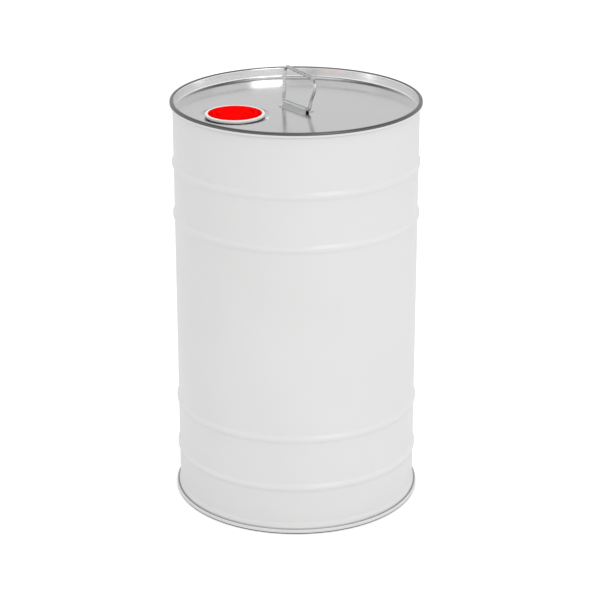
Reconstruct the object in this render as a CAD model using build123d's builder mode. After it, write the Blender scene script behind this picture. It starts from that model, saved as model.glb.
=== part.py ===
from build123d import *
import math
import os

os.makedirs("parts", exist_ok=True)

# Millimetres. +Z is up, the origin is on the drum's axis at the foot of the bottom rim.

# overall sizes
drum_height = 491.0
body_radius = 143.8
top_flare = 0.35
bottom_flare = 1.65
body_sheet = 0.8
head_sheet = 0.8
top_recess = 13.0
bottom_recess = 10.0
chuck_corner_radius = 3.4
chuck_wall_taper = 0.7

# double seam
seam_height = 6.0
seam_side_gap = 0.15
seam_end_gap = 0.5
compound_depth = 0.5
body_flare_height = 7.0

# swaged beads
lower_bead_heights = (58.0, 120.0)
upper_bead_drops = (137.0, 74.5)
bead_projection = 2.0
bead_width = 10.0
bead_crown = 2.6
bead_radius = 3.0

# closure
closure_wall_distance = 68.1
closure_angle = 201.7
opening_radius = 31.2
neck_height = 2.2
neck_curl_reach = 2.4
seat_depth = 1.4
seat_margin = 2.3
seat_slope = 4.0
seat_edge = 1.8
gasket_thickness = 0.4
gasket_edge_gap = 0.1
gasket_bore_gap = 0.3
flange_thickness = 1.0
collar_sheet = 0.5
collar_seat_gap = 0.02
collar_side_gap = 0.6
collar_lip_gap = 0.3
spout_wall = 1.0
spout_wall_gap = 0.3
spout_depth = 21.0
spout_wall_taper = 1.5
fold_width = 3.1
inner_wall_length = 6.0
neck_bore = 18.5
neck_wall = 1.7
thread_height = 0.8
neck_rim_drop = 0.8
thread_pitch = 3.0
thread_rings = 3
thread_start = 1.8
seal_thickness = 0.8
seal_ring_radius = 7.5
liner_thickness = 1.1
cap_side_gap = 0.6
cap_top = 4.4
cap_plate = 1.3
cap_skirt_wall = 2.0
cap_foot_gap = 3.0
cap_bore_clearance = 0.3
loop_edge_margin = 2.3
loop_width = 4.5
loop_depth = 2.2
loop_side_clearance = 0.6
loop_floor_clearance = 0.4
loop_pivot_offset = 1.6
loop_pin_radius = 0.8
loop_pin_clearance = 0.06
loop_pin_reach = 0.8

# bail and strap
handle_angle = -54.5
wire_radius = 2.0
pivot_floor_gap = 1.45
pivot_span = 52.5
pivot_pin_length = 13.0
pivot_bend = 3.6
bail_height = 43.0
bail_far_shoulder = 31.4
bail_near_shoulder = 35.5
bail_near_drop = 4.0
bail_far_corner = 5.5
bail_near_corner = 12.0
bail_lean = 9.0
pivot_clearance = 0.05
strap_sheet = 1.0
strap_end_gap = 0.4
strap_flange = 7.5
weld_radius = 1.8
weld_depth = 0.3

# layers of the double seam, from the outside inwards, as distances of the sheet centres from the rim
seaming_wall_in = head_sheet / 2
body_hook_in = head_sheet + seam_side_gap + body_sheet / 2
head_hook_in = body_hook_in + body_sheet / 2 + seam_side_gap + head_sheet / 2
seam_body_in = head_hook_in + head_sheet / 2 + seam_side_gap + body_sheet / 2
chuck_wall_in = seam_body_in + body_sheet / 2 + seam_side_gap + head_sheet / 2
hook_bend = (seam_body_in - body_hook_in) / 2 - 0.02
head_bend = (head_hook_in - seaming_wall_in) / 2 - 0.02
rim_bend = (chuck_wall_in - seaming_wall_in) / 2 - 0.4

top_rim_radius = body_radius - body_sheet / 2 + top_flare + seam_body_in
bottom_rim_radius = body_radius - body_sheet / 2 + bottom_flare + seam_body_in
bead_heights = lower_bead_heights + tuple(drum_height - drop for drop in upper_bead_drops)

panel_top = drum_height - top_recess
seat_top = panel_top - seat_depth
closure_radius_from_axis = body_radius - closure_wall_distance
closure_x = closure_radius_from_axis * math.cos(math.radians(closure_angle))
closure_y = closure_radius_from_axis * math.sin(math.radians(closure_angle))
closure_out = (math.cos(math.radians(closure_angle)), math.sin(math.radians(closure_angle)), 0)
closure_side = (-closure_out[1], closure_out[0], 0)
closure_axis = Axis((closure_x, closure_y, 0), (0, 0, 1))
closure_section = Plane(origin=(closure_x, closure_y, seat_top), x_dir=closure_side,
                        z_dir=closure_out)
closure_level = Plane(origin=(closure_x, closure_y, seat_top), x_dir=closure_side, z_dir=(0, 0, 1))

# closure sizes that follow the opening, the spout and the neck
neck_curl_radius = opening_radius + neck_curl_reach
collar_radius = neck_curl_radius + collar_side_gap + collar_sheet
collar_lip_radius = opening_radius + collar_lip_gap
seat_flat_radius = collar_radius + seat_margin
outer_wall_r = opening_radius - spout_wall_gap - spout_wall / 2
spout_fold_radius = outer_wall_r - spout_wall_taper
inner_wall_radius = spout_fold_radius - fold_width
neck_foot_depth = spout_depth - inner_wall_length
neck_rim_height = -neck_rim_drop
neck_thread_root = neck_bore + neck_wall
neck_thread_crest = neck_thread_root + thread_height
cap_radius = outer_wall_r - spout_wall / 2 - cap_side_gap
cap_skirt_depth = neck_foot_depth - cap_foot_gap
loop_outer_radius = cap_radius - loop_edge_margin
loop_inner_radius = loop_outer_radius - loop_width

# bail sizes that follow the wire
channel_r = wire_radius + pivot_clearance
pivot_height = channel_r + pivot_floor_gap
strap_length = pivot_span - 2 * (pivot_bend + strap_end_gap)


def seam_side(rim_radius, edge_height, inward):
    """Body sheet centre line from the flare to the end of the body hook, at one rim."""
    hook_level = edge_height - inward * (head_sheet + compound_depth + body_sheet / 2)
    hook_end = edge_height - inward * (seam_height - head_sheet - seam_end_gap)
    flare_foot = edge_height - inward * (seam_height + body_flare_height)
    flare_head = edge_height - inward * (seam_height + 1.0)
    return [
        (body_radius - body_sheet / 2, flare_foot),
        (rim_radius - seam_body_in, flare_head),
        (rim_radius - seam_body_in, hook_level),
        (rim_radius - body_hook_in, hook_level),
        (rim_radius - body_hook_in, hook_end),
    ]


def bead_points(height):
    """Body sheet centre line over one outward bead."""
    sheet_r = body_radius - body_sheet / 2
    crest_r = sheet_r + bead_projection
    return [
        (sheet_r, height - bead_width / 2),
        (crest_r, height - bead_crown / 2),
        (crest_r, height + bead_crown / 2),
        (sheet_r, height + bead_width / 2),
    ]


def head_points(rim_radius, edge_height, inward, recess):
    """Head sheet centre line from the axis, up the chuck wall and round the seam."""
    panel = edge_height - inward * (recess + head_sheet / 2)
    rim = edge_height - inward * head_sheet / 2
    foot = edge_height - inward * (seam_height - head_sheet / 2)
    hook_end = edge_height - inward * (head_sheet + compound_depth + body_sheet + seam_end_gap)
    return [
        (0, panel),
        (rim_radius - chuck_wall_in - chuck_wall_taper, panel),
        (rim_radius - chuck_wall_in, rim),
        (rim_radius - seaming_wall_in, rim),
        (rim_radius - seaming_wall_in, foot),
        (rim_radius - head_hook_in, foot),
        (rim_radius - head_hook_in, hook_end),
    ]


def compound_points(rim_radius, edge_height, inward):
    """Bead of seaming compound under the crown of the seam."""
    outer = edge_height - inward * (head_sheet + 0.02)
    inner = edge_height - inward * (head_sheet + compound_depth - 0.02)
    middle = rim_radius - (seam_body_in + body_hook_in) / 2
    shoulder = inner + inward * 0.2
    return [
        (middle - 0.8, inner),
        (middle + 0.8, inner),
        (middle + 0.8, shoulder),
        (middle + 0.35, outer),
        (middle - 0.35, outer),
        (middle - 0.8, shoulder),
    ]


# body: rolled sheet with four swaged beads, flared and hooked at both ends
body_path = list(reversed(seam_side(bottom_rim_radius, 0, -1)))
body_bends = [hook_bend, hook_bend, 2.0, 2.0]
for bead in bead_heights:
    body_path = body_path + bead_points(bead)
    body_bends = body_bends + [bead_radius] * 4
body_path = body_path + seam_side(top_rim_radius, drum_height, 1)
body_bends = body_bends + [2.0, 2.0, hook_bend, hook_bend]
body_bends = body_bends[: len(body_path) - 2]

with BuildPart() as body_shell:
    with BuildSketch(Plane.XZ):
        with BuildLine():
            FilletPolyline(*body_path, radius=body_bends)
        trace(line_width=body_sheet)
    revolve(axis=Axis.Z)
body_shell.part.label = "body_shell"
export_step(body_shell.part, "parts/body_shell.step")

# top head: recessed panel with the closure neck drawn up from it
head_bends = [chuck_corner_radius, rim_bend, rim_bend, head_bend, head_bend]
with BuildPart() as top_head:
    with BuildSketch(Plane.XZ):
        with BuildLine():
            FilletPolyline(*head_points(top_rim_radius, drum_height, 1, top_recess), radius=head_bends)
        trace(line_width=head_sheet)
    revolve(axis=Axis.Z)
    with BuildSketch(closure_level):
        Circle(seat_flat_radius + seat_slope + seat_edge - 0.2)
    extrude(amount=seat_depth + head_sheet * 2, both=True, mode=Mode.SUBTRACT)
    with BuildSketch(closure_section):
        with BuildLine():
            FilletPolyline(
                (seat_flat_radius + seat_slope + seat_edge, seat_depth - head_sheet / 2),
                (seat_flat_radius + seat_slope, seat_depth - head_sheet / 2),
                (seat_flat_radius, -head_sheet / 2),
                (opening_radius + head_sheet / 2, -head_sheet / 2),
                (opening_radius + head_sheet / 2, neck_height - head_sheet / 2),
                (neck_curl_radius, neck_height - head_sheet / 2),
                radius=(2.0, 2.0, 0.7, 0.7),
            )
        trace(line_width=head_sheet)
    revolve(axis=closure_axis)
top_head.part.label = "top_head"
export_step(top_head.part, "parts/top_head.step")

# bottom head
with BuildPart() as bottom_head:
    with BuildSketch(Plane.XZ):
        with BuildLine():
            FilletPolyline(*head_points(bottom_rim_radius, 0, -1, bottom_recess), radius=head_bends)
        trace(line_width=head_sheet)
    revolve(axis=Axis.Z)
bottom_head.part.label = "bottom_head"
export_step(bottom_head.part, "parts/bottom_head.step")

# seaming compound in both rims
with BuildPart() as top_seam_compound:
    with BuildSketch(Plane.XZ):
        with BuildLine():
            Polyline(*compound_points(top_rim_radius, drum_height, 1), close=True)
        make_face()
    revolve(axis=Axis.Z)
top_seam_compound.part.label = "top_seam_compound"
export_step(top_seam_compound.part, "parts/top_seam_compound.step")

with BuildPart() as bottom_seam_compound:
    with BuildSketch(Plane.XZ):
        with BuildLine():
            Polyline(*compound_points(bottom_rim_radius, 0, -1), close=True)
        make_face()
    revolve(axis=Axis.Z)
bottom_seam_compound.part.label = "bottom_seam_compound"
export_step(bottom_seam_compound.part, "parts/bottom_seam_compound.step")

# strap: half-round channel with two flanges spot-welded to the panel
handle_dir = (math.cos(math.radians(handle_angle)), math.sin(math.radians(handle_angle)), 0)
strap_plane = Plane(origin=(0, 0, panel_top), x_dir=(-handle_dir[1], handle_dir[0], 0),
                    z_dir=handle_dir)
flange_edge = channel_r + strap_sheet + strap_flange
with BuildPart() as handle_strap:
    with BuildSketch(strap_plane):
        with Locations((0, pivot_height)):
            Circle(channel_r + strap_sheet)
        with Locations((0, pivot_height / 2)):
            Rectangle(2 * (channel_r + strap_sheet), pivot_height)
        with Locations((0, strap_sheet / 2)):
            Rectangle(2 * flange_edge, strap_sheet)
        with Locations((0, pivot_height)):
            Circle(channel_r, mode=Mode.SUBTRACT)
        with Locations((0, pivot_height / 2)):
            Rectangle(2 * channel_r, pivot_height, mode=Mode.SUBTRACT)
    extrude(amount=strap_length / 2, both=True)
    corners = handle_strap.edges().filter_by(Axis.Z).group_by(SortBy.LENGTH)[0]
    fillet(corners, radius=3.0)
    with BuildSketch(Plane(origin=(0, 0, panel_top + strap_sheet), x_dir=handle_dir, z_dir=(0, 0, 1))):
        with GridLocations(strap_length * 0.64, 2 * flange_edge - strap_flange, 2, 2):
            Circle(weld_radius)
    extrude(amount=-weld_depth, mode=Mode.SUBTRACT)
handle_strap.part.label = "handle_strap"
export_step(handle_strap.part, "parts/handle_strap.step")

# bail: one bent wire, its ends turned inwards under the strap
lean = math.radians(bail_lean)
bail_up = (-handle_dir[1] * math.sin(lean), handle_dir[0] * math.sin(lean), math.cos(lean))
bail_plane = Plane(origin=(0, 0, panel_top + pivot_height), x_dir=handle_dir,
                   z_dir=Vector(*handle_dir).cross(Vector(*bail_up)))
leg = pivot_span / 2
with BuildPart() as bail_handle:
    with BuildLine(bail_plane) as bail_path:
        FilletPolyline(
            (pivot_pin_length - leg, 0),
            (-leg, 0),
            (-leg, bail_height * 0.25),
            (-bail_far_shoulder, bail_height - wire_radius),
            (bail_near_shoulder, bail_height - wire_radius - bail_near_drop),
            (leg, bail_height * 0.25),
            (leg, 0),
            (leg - pivot_pin_length, 0),
            radius=(pivot_bend, 14.0, bail_far_corner, bail_near_corner, 14.0, pivot_bend),
        )
    with BuildSketch(Plane(origin=bail_path.line @ 0, z_dir=bail_path.line % 0)):
        Circle(wire_radius)
    sweep()
bail_handle.part.label = "bail_handle"
export_step(bail_handle.part, "parts/bail_handle.step")

# gasket between the drawn neck and the spout's flange
flange_seat = neck_height + gasket_thickness
with BuildPart() as closure_gasket:
    with BuildSketch(closure_level.offset(neck_height)):
        Circle(neck_curl_radius - gasket_edge_gap)
        Circle(opening_radius + gasket_bore_gap, mode=Mode.SUBTRACT)
    extrude(amount=gasket_thickness)
closure_gasket.part.label = "closure_gasket"
export_step(closure_gasket.part, "parts/closure_gasket.step")

# crimped collar over the flange and under the neck's curl
collar_wall_r = collar_radius - collar_sheet / 2
collar_top = flange_seat + flange_thickness + collar_seat_gap
with BuildPart() as closure_collar:
    with BuildSketch(closure_section):
        with BuildLine():
            FilletPolyline(
                (collar_lip_radius, collar_top + collar_sheet / 2),
                (collar_wall_r, collar_top + collar_sheet / 2),
                (collar_wall_r, neck_height - head_sheet - collar_sheet / 2 - 0.02),
                (opening_radius + head_sheet + 0.3, neck_height - head_sheet - collar_sheet / 2 - 0.02),
                radius=(1.0, 0.6),
            )
        trace(line_width=collar_sheet)
    revolve(axis=closure_axis)
closure_collar.part.label = "closure_collar"
export_step(closure_collar.part, "parts/closure_collar.step")

# spout: fixed flange and the outer wall that rolls inside out when the spout is pulled
with BuildPart() as spout_bellows:
    with BuildSketch(closure_section):
        with BuildLine():
            FilletPolyline(
                (outer_wall_r, flange_seat + flange_thickness / 2),
                (outer_wall_r, 1.0),
                (spout_fold_radius, -spout_depth),
                (inner_wall_radius - spout_wall, -spout_depth),
                radius=(4.0, 1.2),
            )
        trace(line_width=spout_wall)
    revolve(axis=closure_axis)
    with BuildSketch(closure_level.offset(flange_seat)):
        Circle(neck_curl_radius - gasket_edge_gap)
        Circle(outer_wall_r - spout_wall / 2, mode=Mode.SUBTRACT)
    extrude(amount=flange_thickness)
spout_bellows.part.label = "spout_bellows"
export_step(spout_bellows.part, "parts/spout_bellows.step")

# spout: stiff threaded neck with its shoulder and short inner wall
with BuildPart() as spout_neck:
    with BuildSketch(closure_section):
        with BuildLine():
            Polyline(
                (neck_bore, neck_rim_height),
                (neck_thread_root, neck_rim_height),
                (neck_thread_root, -neck_foot_depth),
                (inner_wall_radius, -neck_foot_depth),
                (inner_wall_radius, spout_wall / 2 - spout_depth),
                (inner_wall_radius - spout_wall, spout_wall / 2 - spout_depth),
                (inner_wall_radius - spout_wall, -neck_foot_depth - spout_wall),
                (neck_bore, -neck_foot_depth - spout_wall),
                close=True,
            )
        make_face()
        for ring in range(thread_rings):
            ring_height = neck_rim_height - thread_start - thread_pitch * ring
            with BuildLine():
                Polyline(
                    (neck_thread_root - 0.2, ring_height + 0.9),
                    (neck_thread_crest, ring_height + 0.35),
                    (neck_thread_crest, ring_height - 0.35),
                    (neck_thread_root - 0.2, ring_height - 0.9),
                    close=True,
                )
            make_face()
    revolve(axis=closure_axis)
spout_neck.part.label = "spout_neck"
export_step(spout_neck.part, "parts/spout_neck.step")

# tear seal across the foot of the neck, with its pull ring
seal_top = seal_thickness - neck_foot_depth
with BuildPart() as tear_seal:
    with BuildSketch(closure_level.offset(-neck_foot_depth)):
        Circle(neck_bore - 0.05)
    extrude(amount=seal_thickness)
    with BuildSketch(closure_level.offset(seal_top)):
        with Locations((seal_ring_radius + 2.5, 0)):
            Rectangle(5.0, 3.0)
    extrude(amount=5.0)
    with BuildSketch(closure_level.offset(seal_top + 5.0)):
        Circle(seal_ring_radius + 3.0)
        Circle(seal_ring_radius, mode=Mode.SUBTRACT)
    extrude(amount=2.0)
tear_seal.part.label = "tear_seal"
export_step(tear_seal.part, "parts/tear_seal.step")

# cap liner on the rim of the neck
with BuildPart() as cap_liner:
    with BuildSketch(closure_level.offset(neck_rim_height)):
        Circle(neck_thread_crest)
    extrude(amount=liner_thickness)
cap_liner.part.label = "cap_liner"
export_step(cap_liner.part, "parts/cap_liner.step")

# screw cap: flat top with a groove for the two pull loops
cap_under = neck_rim_height + liner_thickness
cap_bore = neck_thread_crest + cap_bore_clearance
cap_skirt_r = cap_bore + cap_skirt_wall
groove_inner = loop_inner_radius - loop_side_clearance
groove_outer = loop_outer_radius + loop_side_clearance
loop_mid = cap_top - loop_depth / 2
groove_floor = cap_top - loop_depth - loop_floor_clearance
pin_plane = Plane(origin=(closure_x, closure_y, seat_top + loop_mid), x_dir=closure_out,
                  z_dir=closure_side)
with BuildPart() as screw_cap:
    with BuildSketch(closure_section):
        with BuildLine():
            Polyline(
                (0, cap_under),
                (cap_bore, cap_under),
                (cap_bore, -cap_skirt_depth),
                (cap_skirt_r, -cap_skirt_depth),
                (cap_skirt_r, groove_floor - cap_plate),
                (cap_radius - 1.4, groove_floor - cap_plate),
                (cap_radius - 1.4, groove_floor - cap_plate - 1.2),
                (cap_radius, groove_floor - cap_plate - 1.2),
                (cap_radius, cap_top - 0.5),
                (cap_radius - 0.5, cap_top),
                (groove_outer, cap_top),
                (groove_outer, groove_floor),
                (groove_inner, groove_floor),
                (groove_inner, cap_top),
                (0, cap_top),
                close=True,
            )
        make_face()
    revolve(axis=closure_axis)
    with BuildSketch(closure_level.offset(cap_top)):
        with Locations((0, groove_inner), (0, -groove_inner)):
            SlotOverall(12.0, 4.0)
    extrude(amount=-(cap_top - groove_floor), mode=Mode.SUBTRACT)
    hole_start = groove_inner - loop_pin_reach - 0.3
    for side in (1, -1):
        with BuildSketch(pin_plane.offset(side * hole_start)):
            with Locations((loop_pivot_offset, 0), (-loop_pivot_offset, 0)):
                Circle(loop_pin_radius + loop_pin_clearance)
        extrude(amount=side * (groove_outer + loop_pin_reach + 0.3 - hole_start), mode=Mode.SUBTRACT)
screw_cap.part.label = "screw_cap"
export_step(screw_cap.part, "parts/screw_cap.step")

# two half-ring pull loops that fold flat into the groove
barrel_radius = loop_depth / 2
for side, loop_name in ((1, "pull_loop_inner"), (-1, "pull_loop_outer")):
    with BuildPart() as pull_loop:
        with BuildSketch(closure_level.offset(loop_mid - loop_depth / 2)):
            Circle(loop_outer_radius)
            Circle(loop_inner_radius, mode=Mode.SUBTRACT)
            with Locations((0, side * (loop_pivot_offset - loop_outer_radius))):
                Rectangle(3 * loop_outer_radius, 2 * loop_outer_radius, mode=Mode.SUBTRACT)
        extrude(amount=loop_depth)
        for end in (1, -1):
            with BuildSketch(pin_plane.offset(end * loop_inner_radius)):
                with Locations((-side * loop_pivot_offset, 0)):
                    Circle(barrel_radius)
            extrude(amount=end * (loop_outer_radius - loop_inner_radius - 0.1))
            with BuildSketch(pin_plane.offset(end * (groove_inner - loop_pin_reach))):
                with Locations((-side * loop_pivot_offset, 0)):
                    Circle(loop_pin_radius)
            extrude(amount=end * (groove_outer - groove_inner + 2 * loop_pin_reach))
    pull_loop.part.label = loop_name
    export_step(pull_loop.part, f"parts/{loop_name}.step")
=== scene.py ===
import math
import bmesh
import bpy
import numpy as np
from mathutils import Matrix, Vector


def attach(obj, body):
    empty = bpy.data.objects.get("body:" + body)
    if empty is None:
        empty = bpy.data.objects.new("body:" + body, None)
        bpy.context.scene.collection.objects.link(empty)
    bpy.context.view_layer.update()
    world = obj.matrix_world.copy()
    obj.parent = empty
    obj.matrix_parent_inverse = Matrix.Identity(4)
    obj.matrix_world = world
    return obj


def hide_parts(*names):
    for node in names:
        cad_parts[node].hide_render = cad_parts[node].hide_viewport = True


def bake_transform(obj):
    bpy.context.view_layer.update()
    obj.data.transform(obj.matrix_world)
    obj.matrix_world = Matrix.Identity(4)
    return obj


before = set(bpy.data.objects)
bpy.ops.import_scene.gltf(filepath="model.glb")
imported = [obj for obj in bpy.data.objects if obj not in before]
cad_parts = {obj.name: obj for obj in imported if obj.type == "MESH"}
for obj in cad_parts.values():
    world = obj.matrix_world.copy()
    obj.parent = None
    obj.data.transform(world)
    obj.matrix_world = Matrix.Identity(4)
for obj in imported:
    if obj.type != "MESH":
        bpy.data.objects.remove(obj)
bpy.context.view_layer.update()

mm = 0.001


def roundedPath(points, radii, steps=7):
    # each inner corner becomes an arc tangent to both runs: centre on the bisector, points blended by equal angles
    points = np.asarray(points, float)
    radii = np.broadcast_to(radii, len(points) - 2)
    out = [points[:1]]
    for before, corner, after, radius in zip(points[:-2], points[1:-1], points[2:], radii):
        a = (before - corner) / np.linalg.norm(before - corner)
        b = (after - corner) / np.linalg.norm(after - corner)
        half = math.acos(max(-1.0, min(1.0, float(a @ b)))) / 2
        if radius <= 0 or half > math.pi / 2 - 1e-4:
            out.append(corner[None])
            continue
        reach = radius / math.tan(half)
        centre = corner + (a + b) / np.linalg.norm(a + b) * radius / math.sin(half)
        first, last = corner + a * reach - centre, corner + b * reach - centre
        sweep = math.pi - 2 * half
        t = np.linspace(0, 1, steps)[:, None]
        out.append(centre + (np.sin((1 - t) * sweep) * first + np.sin(t * sweep) * last) / math.sin(sweep))
    out.append(points[-1:])
    return np.concatenate(out)


def sheetLoop(path, thickness):
    # closed outline of a bent sheet: the centre line moved half a thickness along its normal,
    # out on one side and back on the other
    step = np.gradient(path, axis=0)
    step[1:-1] = (path[2:] - path[1:-1]) / np.linalg.norm(path[2:] - path[1:-1], axis=1)[:, None] \
        + (path[1:-1] - path[:-2]) / np.linalg.norm(path[1:-1] - path[:-2], axis=1)[:, None]
    step /= np.linalg.norm(step, axis=1)[:, None]
    normal = np.stack([-step[:, 1], step[:, 0]], 1)
    return np.concatenate([path + normal * thickness / 2, (path - normal * thickness / 2)[::-1]])


def turnedGrid(outline, count, centre=(0.0, 0.0)):
    # radius and height of the outline carried round a vertical axis: x = r cos a, y = r sin a
    a = np.linspace(0, 2 * math.pi, count, endpoint=False)
    r, z = outline[:, 0][:, None], outline[:, 1][:, None]
    return np.stack([centre[0] + r * np.cos(a), centre[1] + r * np.sin(a), z + 0 * a], 2)


def tubeGrid(line, radius, across, sides=20):
    # a circle carried along a line that lies in one plane:
    # point = line + r (cos a * plane normal + sin a * the line's side)
    tangent = np.gradient(line, axis=0)
    side = np.cross(tangent, across)
    side /= np.linalg.norm(side, axis=1)[:, None]
    a = np.linspace(0, 2 * math.pi, sides, endpoint=False)
    radius = np.broadcast_to(radius, len(line))[:, None, None]
    return line[:, None] + radius * (np.cos(a)[None, :, None] * across + np.sin(a)[None, :, None] * side[:, None])


def gridPiece(name, grid, closeRows=True, closeColumns=True, capEnds=False, poles=False, material=None, scale=mm):
    # quads between neighbouring rows and columns, turned over as a whole when the enclosed volume comes out negative
    rows, columns = grid.shape[:2]
    index = np.arange(rows * columns).reshape(rows, columns)
    right = np.roll(index, -1, 1) if closeColumns else index[:, 1:]
    index2 = index if closeColumns else index[:, :-1]
    low, lowRight = index2, right
    up, upRight = np.roll(index2, -1, 0), np.roll(right, -1, 0)
    if not closeRows:
        low, lowRight, up, upRight = low[:-1], lowRight[:-1], up[:-1], upRight[:-1]
    quads = np.stack([low, lowRight, upRight, up], 2).reshape(-1, 4)
    points = grid.reshape(-1, 3) * scale
    corner = points[quads]
    volume = np.einsum("ij,ij->i", corner[:, 0], np.cross(corner[:, 1], corner[:, 2])) \
        + np.einsum("ij,ij->i", corner[:, 0], np.cross(corner[:, 2], corner[:, 3]))
    faces = quads.tolist()
    if capEnds:
        faces += [index[0][::-1].tolist(), index[-1].tolist()]
    if volume.sum() < 0:
        faces = [face[::-1] for face in faces]
    mesh = bpy.data.meshes.new(name)
    mesh.from_pydata(points, [], faces)
    if poles:
        work = bmesh.new()
        work.from_mesh(mesh)
        bmesh.ops.remove_doubles(work, verts=work.verts, dist=1e-6)
        work.to_mesh(mesh)
        work.free()
    mesh.polygons.foreach_set("use_smooth", np.ones(len(mesh.polygons), bool))
    mesh.update()
    piece = bpy.data.objects.new(name, mesh)
    bpy.context.scene.collection.objects.link(piece)
    if material:
        mesh.materials.append(material)
    return piece


def keepEdges(piece, angle=35):
    # smooth faces with edges sharper than the angle kept crisp
    bpy.context.view_layer.objects.active = piece
    piece.data.set_sharp_from_angle(angle=math.radians(angle))



def plainMaterial(name, colour, metallic=0.0, roughness=0.4):
    material = bpy.data.materials.new(name)
    material.use_nodes = True
    nodes, links = material.node_tree.nodes, material.node_tree.links
    shader = nodes["Principled BSDF"]
    shader.inputs["Base Color"].default_value = (*colour, 1)
    shader.inputs["Metallic"].default_value = metallic
    shader.inputs["Roughness"].default_value = roughness
    place = nodes.new("ShaderNodeTexCoord")
    return material, nodes, links, shader, place.outputs["Object"]


def noiseOf(nodes, links, vector, scale, detail=4.0, roughness=0.55, stretch=None):
    if stretch:
        mapping = nodes.new("ShaderNodeMapping")
        mapping.inputs["Scale"].default_value = stretch
        links.new(vector, mapping.inputs["Vector"])
        vector = mapping.outputs["Vector"]
    noise = nodes.new("ShaderNodeTexNoise")
    noise.inputs["Scale"].default_value = scale
    noise.inputs["Detail"].default_value = detail
    noise.inputs["Roughness"].default_value = roughness
    links.new(vector, noise.inputs["Vector"])
    return noise.outputs["Fac"]


def rangeOf(nodes, links, value, low, high, newLow, newHigh):
    span = nodes.new("ShaderNodeMapRange")
    for name, number in zip(("From Min", "From Max", "To Min", "To Max"), (low, high, newLow, newHigh)):
        span.inputs[name].default_value = number
    links.new(value, span.inputs["Value"])
    return span.outputs["Result"]


def rampOf(nodes, links, value, stops):
    ramp = nodes.new("ShaderNodeValToRGB")
    while len(ramp.color_ramp.elements) < len(stops):
        ramp.color_ramp.elements.new(0.5)
    for element, (place, colour) in zip(ramp.color_ramp.elements, stops):
        element.position = place
        element.color = (*colour, 1)
    links.new(value, ramp.inputs["Fac"])
    return ramp.outputs["Color"]


def bumpOf(nodes, links, shader, height, strength, distance, under=None):
    bump = nodes.new("ShaderNodeBump")
    bump.inputs["Strength"].default_value = strength
    bump.inputs["Distance"].default_value = distance
    links.new(height, bump.inputs["Height"])
    if under:
        links.new(under, bump.inputs["Normal"])
    links.new(bump.outputs["Normal"], shader.inputs["Normal"])
    return bump.outputs["Normal"]


def mathOf(nodes, links, operation, a, b):
    node = nodes.new("ShaderNodeMath")
    node.operation = operation
    for socket, value in zip(node.inputs, (a, b)):
        if isinstance(value, (int, float)):
            socket.default_value = value
        else:
            links.new(value, socket)
    return node.outputs["Value"]


lacquerWhite = (0.80, 0.80, 0.797, 1)
lacquerRoughness = 0.33


def lacquerMaterial():
    # gloss white stoving lacquer: faint cloudiness, orange peel, a little dust dulling and rare fine scuffs
    material, nodes, links, shader, place = plainMaterial("whiteLacquer", lacquerWhite[:3], 0.0, lacquerRoughness)
    cloud = noiseOf(nodes, links, place, 9.0, 5.0)
    colour = rampOf(nodes, links, cloud, [(0.3, (0.79, 0.79, 0.786)), (0.7, (0.81, 0.81, 0.808))])
    scuffs = noiseOf(nodes, links, place, 60.0, 6.0, 0.7, (1.0, 1.0, 0.06))
    scuffMask = rangeOf(nodes, links, scuffs, 0.70, 0.78, 0.0, 1.0)
    mix = nodes.new("ShaderNodeMix")
    mix.data_type = "RGBA"
    links.new(mathOf(nodes, links, "MULTIPLY", scuffMask, 0.10), mix.inputs["Factor"])
    links.new(colour, mix.inputs["A"])
    mix.inputs["B"].default_value = (0.62, 0.62, 0.61, 1)
    links.new(mix.outputs["Result"], shader.inputs["Base Color"])
    rough = rangeOf(nodes, links, noiseOf(nodes, links, place, 22.0, 4.0), 0.3, 0.7, 0.29, 0.38)
    dulled = mathOf(nodes, links, "MULTIPLY", scuffMask, 0.12)
    links.new(mathOf(nodes, links, "ADD", rough, dulled), shader.inputs["Roughness"])
    peel = noiseOf(nodes, links, place, 420.0, 2.0)
    sway = noiseOf(nodes, links, place, 14.0, 2.0)
    first = bumpOf(nodes, links, shader, sway, 0.10, 0.0015)
    bumpOf(nodes, links, shader, peel, 0.06, 0.0004, first)
    shader.inputs["Coat Weight"].default_value = 0.25
    shader.inputs["Coat Roughness"].default_value = 0.12
    return material


def sheetMetalMaterial(name, colour, roughness, grain=(1.0, 26.0, 1.0), spread=0.05):
    # bare rolled sheet: fine grain along the rolling direction, slow mottling and small handling marks
    material, nodes, links, shader, place = plainMaterial(name, colour, 1.0, roughness)
    mottle = noiseOf(nodes, links, place, 30.0, 6.0, 0.65)
    low, high = [max(0.0, c - spread) for c in colour], [min(1.0, c + spread) for c in colour]
    fine = noiseOf(nodes, links, place, 90.0, 5.0, 0.6, grain)
    most, rest = mathOf(nodes, links, "MULTIPLY", mottle, 0.6), mathOf(nodes, links, "MULTIPLY", fine, 0.4)
    both = mathOf(nodes, links, "ADD", most, rest)
    links.new(rampOf(nodes, links, both, [(0.35, low), (0.65, high)]), shader.inputs["Base Color"])
    links.new(rangeOf(nodes, links, both, 0.35, 0.65, roughness - 0.03, roughness + 0.05), shader.inputs["Roughness"])
    first = bumpOf(nodes, links, shader, fine, 0.05, 0.0002)
    bumpOf(nodes, links, shader, noiseOf(nodes, links, place, 9.0, 2.0), 0.10, 0.0015, first)
    return material


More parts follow.
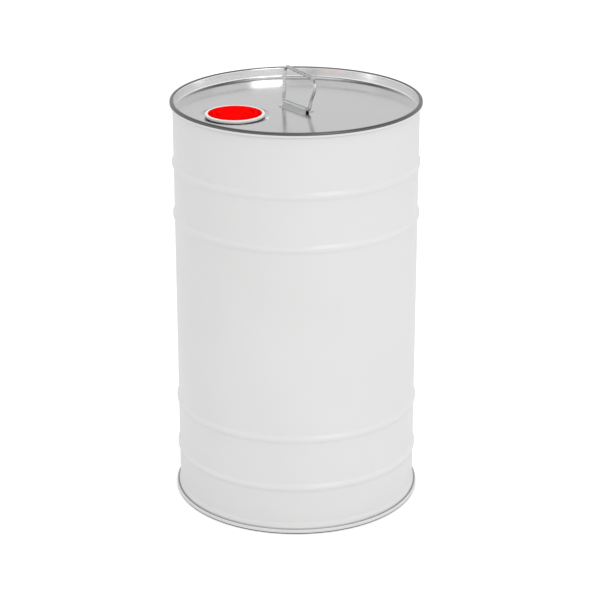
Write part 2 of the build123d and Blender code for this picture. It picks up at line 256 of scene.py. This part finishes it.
def headMaterial(name, grain, look):
    # bare sheet: lacquered with the body on the seam's outer side, darkened on the seam's crown as painted shade
    # standing in for a dark reflection, and brightened on the wall inside it as a painted highlight
    material = sheetMetalMaterial(name, (0.52, 0.52, 0.522), 0.15, grain, 0.02)
    nodes, links = material.node_tree.nodes, material.node_tree.links
    shader, place = nodes["Principled BSDF"], nodes["Texture Coordinate"].outputs["Object"]
    split = nodes.new("ShaderNodeSeparateXYZ")
    links.new(place, split.inputs["Vector"])
    x, y, z = (split.outputs[axis] for axis in "XYZ")

    def times(a, b):
        return mathOf(nodes, links, "MULTIPLY", a, b)

    def within(value, span):
        least = mathOf(nodes, links, "GREATER_THAN", value, span[0] * mm)
        return times(least, mathOf(nodes, links, "LESS_THAN", value, span[1] * mm))

    # distance from the axis: the square root of x times x plus y times y
    reach = mathOf(nodes, links, "SQRT", mathOf(nodes, links, "ADD", times(x, x), times(y, y)), 0.0)
    rim, past = look["rim"], look["rim"] + 1
    painted = times(within(reach, (rim - 0.6, past)), within(z, look["lacquered"]))
    # painted shade: the seam's crown gets a dark tone standing in for a dark reflection
    crownPaintedShade = times(within(reach, (rim - 4.4, past)), within(z, look["crown"]))
    # painted highlight: the wall inside the seam gets a bright tone standing in for a bright reflection
    wallPaintedHighlight = times(within(reach, (rim - 7.0, rim - 4.4)), within(z, (479.5, 491.5)))
    colour = shader.inputs["Base Color"].links[0].from_socket
    # tones: 0.90 is the painted highlight on the wall, 0.16 the painted shade on the crown, lacquerWhite the seam's
    # lacquer
    for mask, tone in ((wallPaintedHighlight, (0.90, 0.90, 0.90, 1)), (crownPaintedShade, (0.16, 0.16, 0.16, 1)), (painted, lacquerWhite)):
        mix = nodes.new("ShaderNodeMix")
        mix.data_type = "RGBA"
        links.new(mask, mix.inputs["Factor"])
        links.new(colour, mix.inputs["A"])
        mix.inputs["B"].default_value = tone
        colour = mix.outputs["Result"]
    links.new(colour, shader.inputs["Base Color"])
    links.new(mathOf(nodes, links, "SUBTRACT", 1.0, painted), shader.inputs["Metallic"])
    rough = shader.inputs["Roughness"].links[0].from_socket
    duller = times(mathOf(nodes, links, "ADD", painted, crownPaintedShade), 0.18)
    links.new(mathOf(nodes, links, "ADD", rough, duller), shader.inputs["Roughness"])
    return material


def plasticMaterial(name, colour, roughness=0.36, sheen=0.3):
    # moulded polyethylene: even colour with faint flow clouding and a fine matt texture
    material, nodes, links, shader, place = plainMaterial(name, colour, 0.0, roughness)
    flow = noiseOf(nodes, links, place, 45.0, 3.0, 0.5, (1.0, 1.0, 0.5))
    low, high = [c * 0.94 for c in colour], [min(1.0, c * 1.05) for c in colour]
    links.new(rampOf(nodes, links, flow, [(0.3, low), (0.7, high)]), shader.inputs["Base Color"])
    speckle = noiseOf(nodes, links, place, 160.0, 3.0)
    rough = rangeOf(nodes, links, speckle, 0.3, 0.7, roughness - 0.05, roughness + 0.07)
    links.new(rough, shader.inputs["Roughness"])
    bumpOf(nodes, links, shader, noiseOf(nodes, links, place, 900.0, 2.0), 0.12, 0.0002)
    shader.inputs["Specular IOR Level"].default_value = sheen
    return material


# heights in millimetres between which each seam is lacquered, and darkened on its crown as painted shade
topSeamLook = {"rim": 147.0, "lacquered": (485.0, 487.9), "crown": (487.9, 491.5)}
bottomSeamLook = {"rim": 148.3, "lacquered": (1.8, 6.1), "crown": (-0.5, 1.8)}
finishes = {
    "whiteLacquer": lacquerMaterial(),
    "headTinplate": headMaterial("headTinplate", (1.0, 26.0, 1.0), topSeamLook),
    "baseTinplate": headMaterial("baseTinplate", (26.0, 1.0, 1.0), bottomSeamLook),
    "strapSteel": sheetMetalMaterial("strapSteel", (0.66, 0.665, 0.67), 0.30, (8.0, 8.0, 1.0), 0.04),
    "zincWire": sheetMetalMaterial("zincWire", (0.60, 0.605, 0.61), 0.27, (1.0, 1.0, 6.0), 0.06),
    "collarSteel": plasticMaterial("collarSteel", (0.82, 0.82, 0.81), 0.3, 0.5),
    "redCap": plasticMaterial("redCap", (0.90, 0.0006, 0.0004), 0.5, 0.001),
    "redSpout": plasticMaterial("redSpout", (0.80, 0.0015, 0.001), 0.5, 0.05),
    "sealCompound": plasticMaterial("sealCompound", (0.30, 0.27, 0.22), 0.7),
    "gasketRubber": plasticMaterial("gasketRubber", (0.03, 0.03, 0.032), 0.6),
    "linerFoam": plasticMaterial("linerFoam", (0.80, 0.80, 0.77), 0.7),
}
print("materials made")


def finishNode(node, finish):
    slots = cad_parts[node].data.materials
    slots.clear()
    slots.append(finishes[finish])


for node, finish in {
    "body_shell": "whiteLacquer", "top_head": "headTinplate", "bottom_head": "baseTinplate",
    "top_seam_compound": "sealCompound", "bottom_seam_compound": "sealCompound",
    "handle_strap": "strapSteel", "bail_handle": "zincWire", "closure_gasket": "gasketRubber",
    "closure_collar": "collarSteel", "spout_bellows": "redSpout", "spout_neck": "redSpout",
    "tear_seal": "redSpout", "cap_liner": "linerFoam", "screw_cap": "redCap",
    "pull_loop_inner": "redCap", "pull_loop_outer": "redCap",
}.items():
    finishNode(node, finish)

drum = {
    "height": 491.0, "topRim": 147.0, "bottomRim": 148.3, "bodyRadius": 143.8, "bodySheet": 0.8, "headSheet": 0.8,
    "topRecess": 13.0, "bottomRecess": 10.0, "seamHeight": 6.0, "sideGap": 0.15, "endGap": 0.5,
    "compound": 0.5, "flareHeight": 7.0, "chuckBend": 3.4, "chuckTaper": 0.7,
    "beads": (58.0, 120.0, 354.0, 416.5), "beadOut": 2.0, "beadWidth": 10.0, "beadCrown": 2.6,
    "beadBend": 3.0, "turns": 360,
}
wallIn = drum["headSheet"] / 2  # sheet centres of the seam's layers, as distances in from the rim
hookIn = drum["headSheet"] + drum["sideGap"] + drum["bodySheet"] / 2
headHookIn = hookIn + drum["bodySheet"] / 2 + drum["sideGap"] + drum["headSheet"] / 2
seamBodyIn = headHookIn + drum["headSheet"] / 2 + drum["sideGap"] + drum["bodySheet"] / 2
chuckIn = seamBodyIn + drum["bodySheet"] / 2 + drum["sideGap"] + drum["headSheet"] / 2
bodyLine = drum["bodyRadius"] - drum["bodySheet"] / 2


def seamEnd(rimRadius, edge, inward):
    # body sheet from the foot of its flare to the end of its hook
    hookLevel = edge - inward * (drum["headSheet"] + drum["compound"] + drum["bodySheet"] / 2)
    hookEnd = edge - inward * (drum["seamHeight"] - drum["headSheet"] - drum["endGap"])
    foot = edge - inward * (drum["seamHeight"] + drum["flareHeight"])
    head = edge - inward * (drum["seamHeight"] + 1.0)
    body, hook = rimRadius - seamBodyIn, rimRadius - hookIn
    return [(bodyLine, foot), (body, head), (body, hookLevel), (hook, hookLevel), (hook, hookEnd)]


def beadLine(height):
    # body sheet over one outward bead
    out = bodyLine + drum["beadOut"]
    return [(bodyLine, height - drum["beadWidth"] / 2), (out, height - drum["beadCrown"] / 2),
            (out, height + drum["beadCrown"] / 2), (bodyLine, height + drum["beadWidth"] / 2)]


hookBend = (seamBodyIn - hookIn) / 2 - 0.02
beadPoints = sum([beadLine(z) for z in drum["beads"]], [])
bodyPoints = seamEnd(drum["bottomRim"], 0, -1)[::-1] + beadPoints + seamEnd(drum["topRim"], drum["height"], 1)
bodyBends = [hookBend, hookBend, 2.0, 2.0] + [drum["beadBend"]] * 16 + [2.0, 2.0, hookBend, hookBend]
bodyPath = roundedPath(bodyPoints, bodyBends, 5)
bodyGrid = turnedGrid(sheetLoop(bodyPath, drum["bodySheet"]), drum["turns"])
bodySide = gridPiece("bodySheet", bodyGrid, material=finishes["whiteLacquer"])
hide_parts("body_shell")
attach(bodySide, "drum")
print("body", len(bodySide.data.polygons))

closure = {
    "away": 75.7, "angle": 201.7, "opening": 31.2, "neckHeight": 2.2, "curl": 33.6,
    "seatDepth": 1.4, "seatFlat": 37.0, "seatSlope": 4.0, "gasket": 0.4, "flange": 1.0,
    "wall": 1.0, "wallGap": 0.3, "depth": 21.0, "fold": 28.9, "innerWall": 25.8,
}
panelTop = drum["height"] - drum["topRecess"]
seatTop = panelTop - closure["seatDepth"]
closureAngle = math.radians(closure["angle"])
closureCentre = np.array([math.cos(closureAngle), math.sin(closureAngle)]) * closure["away"]


def headPath(rimRadius, edge, inward, recess, start):
    # head sheet from a starting radius on the panel, up the chuck wall and round the seam
    half = drum["headSheet"] / 2
    panel, rim = edge - inward * (recess + half), edge - inward * half
    foot = edge - inward * (drum["seamHeight"] - half)
    hookEnd = edge - inward * (drum["headSheet"] + drum["compound"] + drum["bodySheet"] + drum["endGap"])
    chuck, wall, hook = rimRadius - chuckIn, rimRadius - wallIn, rimRadius - headHookIn
    points = [(start, panel), (chuck - drum["chuckTaper"], panel), (chuck, rim), (wall, rim),
              (wall, foot), (hook, foot), (hook, hookEnd)]
    rimBend, headBend = (chuckIn - wallIn) / 2 - 0.4, (headHookIn - wallIn) / 2 - 0.02
    return roundedPath(points, [drum["chuckBend"], rimBend, rimBend, headBend, headBend])


def twoSides(path, thickness):
    loop = sheetLoop(path, thickness)
    return loop[:len(path)], loop[len(path):][::-1]


def topHeadGrid(turns=480, rings=16):
    # one sheet whose columns leave the closure's centre as rays: circles round the closure, then a straight mix
    # of the last of them with the first circle round the drum's axis, then circles round that axis
    phi = np.linspace(0, 2 * math.pi, turns, endpoint=False)
    ray = np.stack([np.cos(phi), np.sin(phi)], 1)
    edge = drum["topRim"] - chuckIn - drum["chuckTaper"] - drum["chuckBend"] - 0.5
    along = ray @ closureCentre
    reach = -along + np.sqrt(along ** 2 - closure["away"] ** 2 + edge ** 2)
    meet = closureCentre + ray * reach[:, None]
    around = meet / np.linalg.norm(meet, axis=1)[:, None]
    seatEnd = closure["seatFlat"] + closure["seatSlope"]
    half = drum["headSheet"] / 2
    bore, lip, dip = closure["opening"] + half, closure["neckHeight"] - half, closure["seatDepth"] - half
    neck = roundedPath([(closure["curl"], lip), (bore, lip), (bore, -half), (closure["seatFlat"], -half),
                        (seatEnd, dip), (seatEnd + 1.8, dip)], [0.7, 0.7, 2.0, 2.0]) + (0, seatTop)
    rim = headPath(drum["topRim"], drum["height"], 1, drum["topRecess"], edge)

    def rows(section, centre, directions):
        flat = centre + section[:, 0][:, None, None] * directions
        return np.concatenate([flat, np.broadcast_to(section[:, 1][:, None, None], flat.shape[:2] + (1,))], 2)

    sides = []
    for inner, outer in zip(twoSides(neck, drum["headSheet"]), twoSides(rim, drum["headSheet"])):
        near, far = rows(inner, closureCentre, ray), rows(outer, np.zeros(2), around)
        mix = np.linspace(0, 1, rings)[1:-1, None, None]
        sides.append(np.concatenate([near, near[-1] * (1 - mix) + far[0] * mix, far]))
    return np.concatenate([sides[0], sides[1][::-1]])


topHead = gridPiece("topHead", topHeadGrid(), material=finishes["headTinplate"])
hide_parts("top_head")
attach(topHead, "drum")

bottomOutline = sheetLoop(headPath(drum["bottomRim"], 0, -1, drum["bottomRecess"], 0.0), drum["headSheet"])
bottomHead = gridPiece("bottomHead", turnedGrid(bottomOutline, drum["turns"]), closeRows=False, poles=True,
                       material=finishes["baseTinplate"])
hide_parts("bottom_head")
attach(bottomHead, "drum")
print("heads", len(topHead.data.polygons), len(bottomHead.data.polygons))

weld = {"angle": 98.0, "width": 3.2, "proud": 0.22, "sink": 0.3, "columns": 13}


def weldGrid():
    # the body's outer line, raised across the weld's width by a low half-sine crown with small ripples along it
    outline = twoSides(bodyPath, drum["bodySheet"])
    outer = outline[0] if outline[0][:, 0].mean() > outline[1][:, 0].mean() else outline[1]
    inside = (outer[:, 1] > drum["seamHeight"] + 2.5) & (outer[:, 1] < drum["height"] - drum["seamHeight"] - 2.5)
    z = np.arange(drum["seamHeight"] + 2.5, drum["height"] - drum["seamHeight"] - 2.5, 1.0)
    order = np.argsort(outer[inside, 1])
    r = np.interp(z, outer[inside, 1][order], outer[inside, 0][order])
    t = np.linspace(0, 1, weld["columns"])
    crown = np.sin(t * math.pi) * (weld["proud"] + 0.05 * np.sin(z[:, None] * 2.1))
    radius = np.concatenate([r[:, None] - 0.02 + crown, r[:, None] - weld["sink"] + 0 * t[::-1]], 1)
    spread = np.concatenate([t, t[::-1]]) - 0.5
    a = math.radians(weld["angle"]) + spread * weld["width"] / drum["bodyRadius"]
    return np.stack([radius * np.cos(a), radius * np.sin(a), np.broadcast_to(z[:, None], radius.shape)], 2)


sideWeld = gridPiece("sideWeld", weldGrid(), closeRows=False, capEnds=True, material=finishes["whiteLacquer"])
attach(sideWeld, "drum")

bail = {
    "angle": -54.5, "wire": 2.0, "pivot": 3.5, "span": 52.5, "pin": 13.0, "tall": 43.0,
    "farShoulder": 31.4, "nearShoulder": 35.5, "farCorner": 5.5, "nearCorner": 12.0, "nearDrop": 4.0,
    "footBend": 3.6, "legBend": 14.0, "lean": 9.0,
}
bailAlong = np.array([math.cos(math.radians(bail["angle"])), math.sin(math.radians(bail["angle"])), 0.0])
bailLean = math.radians(bail["lean"])
bailUp = np.array([-bailAlong[1] * math.sin(bailLean), bailAlong[0] * math.sin(bailLean), math.cos(bailLean)])


def bailLine():
    # the wire's centre line in its own plane, run from one turned-in end to the other
    leg, top = bail["span"] / 2, bail["tall"] - bail["wire"]
    knee = bail["tall"] * 0.25
    flat = roundedPath([(bail["pin"] - leg, 0), (-leg, 0), (-leg, knee), (-bail["farShoulder"], top),
                        (bail["nearShoulder"], top - bail["nearDrop"]), (leg, knee), (leg, 0),
                        (leg - bail["pin"], 0)],
                       [bail["footBend"], bail["legBend"], bail["farCorner"], bail["nearCorner"],
                        bail["legBend"], bail["footBend"]], 14)
    ends = np.array([0.0, 0.15, 0.45, 0.8])
    head = flat[0] + (flat[1] - flat[0]) / np.linalg.norm(flat[1] - flat[0]) * ends[:, None]
    tail = flat[-1] + (flat[-2] - flat[-1]) / np.linalg.norm(flat[-2] - flat[-1]) * ends[:, None]
    return np.concatenate([head, flat[1:-1], tail[::-1]])


flatBail = bailLine()
bailRadius = np.full(len(flatBail), bail["wire"])
bailRadius[:4] = bailRadius[-4:][::-1] = bail["wire"] - np.array([0.6, 0.25, 0.06, 0.0])
bailRadius[-4:] = bailRadius[:4][::-1]
bailSpace = flatBail[:, 0][:, None] * bailAlong + flatBail[:, 1][:, None] * bailUp + (0, 0, panelTop + bail["pivot"])
bailGrid = tubeGrid(bailSpace, bailRadius, np.cross(bailAlong, bailUp), 24)
bailWire = gridPiece("bailWire", bailGrid, closeRows=False, capEnds=True, material=finishes["zincWire"])
keepEdges(bailWire, 50)
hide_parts("bail_handle")
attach(bailWire, "bail")
print("bail", len(bailWire.data.polygons))

wallRadius = closure["opening"] - closure["wallGap"] - closure["wall"] / 2
seat = closure["neckHeight"] + closure["gasket"]
wallPath = roundedPath([(wallRadius, seat + 0.2), (wallRadius, 1.0), (closure["fold"], -closure["depth"]),
                        (closure["innerWall"] - closure["wall"], -closure["depth"])], [4.0, 1.2], 9)
stretch = np.linspace(0, 1, 26)[:, None]
fine = np.concatenate([wallPath[:1] * (1 - stretch[:6] * 5) + wallPath[1] * stretch[:6] * 5, wallPath[2:9],
                       wallPath[9] * (1 - stretch) + wallPath[10] * stretch, wallPath[11:]])
wallGrid = turnedGrid(sheetLoop(fine, closure["wall"]) + (0, seatTop), 128, closureCentre)
spoutWall = gridPiece("spoutWall", wallGrid, material=finishes["redSpout"])
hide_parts("spout_bellows")
flangeTop, flangeEdge = seat + closure["flange"], closure["curl"] - 0.1
flangeOutline = np.array([(wallRadius - 0.5, seat), (flangeEdge, seat), (flangeEdge, flangeTop),
                          (wallRadius - 0.2, flangeTop), (wallRadius - 0.5, flangeTop - 0.3)])
flangeGrid = turnedGrid(flangeOutline + (0, seatTop), 160, closureCentre)
spoutFlange = gridPiece("spoutFlange", flangeGrid, material=finishes["redSpout"])
keepEdges(spoutFlange)
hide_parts("spout_bellows")
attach(spoutFlange, "drum")
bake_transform(spoutWall)
print("spout")

view = {"distance": 2.2488, "height": 1.1075, "pitch": 21.11, "yaw": -0.1146, "lens": 119.95}
cameraData = bpy.data.cameras.new("camera")
cameraData.lens = view["lens"]
cameraData.sensor_width = 36
cameraData.clip_end = 50
camera = bpy.data.objects.new("camera", cameraData)
camera.location = (0, -view["distance"], view["height"])
camera.rotation_euler = (math.radians(90 - view["pitch"]), 0, math.radians(view["yaw"]))
bpy.context.scene.collection.objects.link(camera)
bpy.context.scene.camera = camera

floorMaterial = bpy.data.materials.new("studioFloor")
floorMaterial.use_nodes = True
nodes, links = floorMaterial.node_tree.nodes, floorMaterial.node_tree.links
nodes.remove(nodes["Principled BSDF"])
matt = nodes.new("ShaderNodeBsdfDiffuse")
matt.inputs["Color"].default_value = (0.86, 0.86, 0.86, 1)
glow = nodes.new("ShaderNodeEmission")
rays = nodes.new("ShaderNodeLightPath")
total = nodes.new("ShaderNodeAddShader")
seen = mathOf(nodes, links, "MAXIMUM", rays.outputs["Is Camera Ray"], rays.outputs["Is Transmission Ray"])
links.new(mathOf(nodes, links, "MULTIPLY", seen, 0.36), glow.inputs["Strength"])
links.new(matt.outputs["BSDF"], total.inputs[0])
links.new(glow.outputs["Emission"], total.inputs[1])
links.new(total.outputs["Shader"], nodes["Material Output"].inputs["Surface"])
floorMesh = bpy.data.meshes.new("floor")
floorMesh.from_pydata([(-6, -6, 0), (6, -6, 0), (6, 6, 0), (-6, 6, 0)], [], [(0, 1, 2, 3)])
floorMesh.materials.append(floorMaterial)
floor = bpy.data.objects.new("floor", floorMesh)
bpy.context.scene.collection.objects.link(floor)

world = bpy.data.worlds.new("studio")
bpy.context.scene.world = world
world.use_nodes = True
nodes, links = world.node_tree.nodes, world.node_tree.links
background = nodes["Background"]
place = nodes.new("ShaderNodeTexCoord")
split = nodes.new("ShaderNodeSeparateXYZ")
links.new(place.outputs["Generated"], split.inputs["Vector"])


def greyRamp(value, stops):
    return rampOf(nodes, links, value, [(place, (grey, grey, grey)) for place, grey in stops])


upward = rangeOf(nodes, links, split.outputs["Z"], -0.1, 1.0, 0.0, 1.0)
lift = greyRamp(upward, [(0.0, 0.68), (0.12, 0.77), (0.4, 0.76), (0.8, 0.90)])
# mirror surroundings by height: bright low band in front, dark above, bright low behind
frontSide = greyRamp(split.outputs["Z"], [(0.0, 0.85), (0.17, 1.0), (0.50, 1.0), (0.62, 0.2)])
backSide = greyRamp(split.outputs["Z"], [(0.0, 0.95), (0.42, 0.9), (0.62, 0.45), (0.75, 0.2)])
rays = nodes.new("ShaderNodeLightPath")


def mixOf(factor, a, b):
    mix = nodes.new("ShaderNodeMix")
    mix.data_type = "RGBA"
    links.new(factor, mix.inputs["Factor"])
    links.new(a, mix.inputs["A"])
    if isinstance(b, tuple):
        mix.inputs["B"].default_value = b
    else:
        links.new(b, mix.inputs["B"])
    return mix.outputs["Result"]


behind = rangeOf(nodes, links, split.outputs["Y"], -0.1, 0.1, 0.0, 1.0)
around = mixOf(rays.outputs["Is Glossy Ray"], lift, mixOf(behind, frontSide, backSide))
links.new(mixOf(rays.outputs["Is Camera Ray"], around, (1, 1, 1, 1)), background.inputs["Color"])


def softLamp(name, place, aim, size, watts):
    data = bpy.data.lights.new(name, "AREA")
    data.shape = "RECTANGLE"
    data.size, data.size_y = size
    data.energy = watts
    lamp = bpy.data.objects.new(name, data)
    lamp.location = place
    lamp.rotation_euler = (Vector(aim) - Vector(place)).to_track_quat("-Z", "Y").to_euler()
    bpy.context.scene.collection.objects.link(lamp)
    return lamp


softLamp("keyLamp", (1.3, -2.2, 1.9), (0, 0, 0.25), (1.4, 1.4), 13)
softLamp("topLamp", (0.0, 0.3, 2.4), (0, 0, 0.3), (1.6, 1.6), 10)
bpy.context.scene.view_settings.view_transform = "Standard"
print("stage, light and camera")
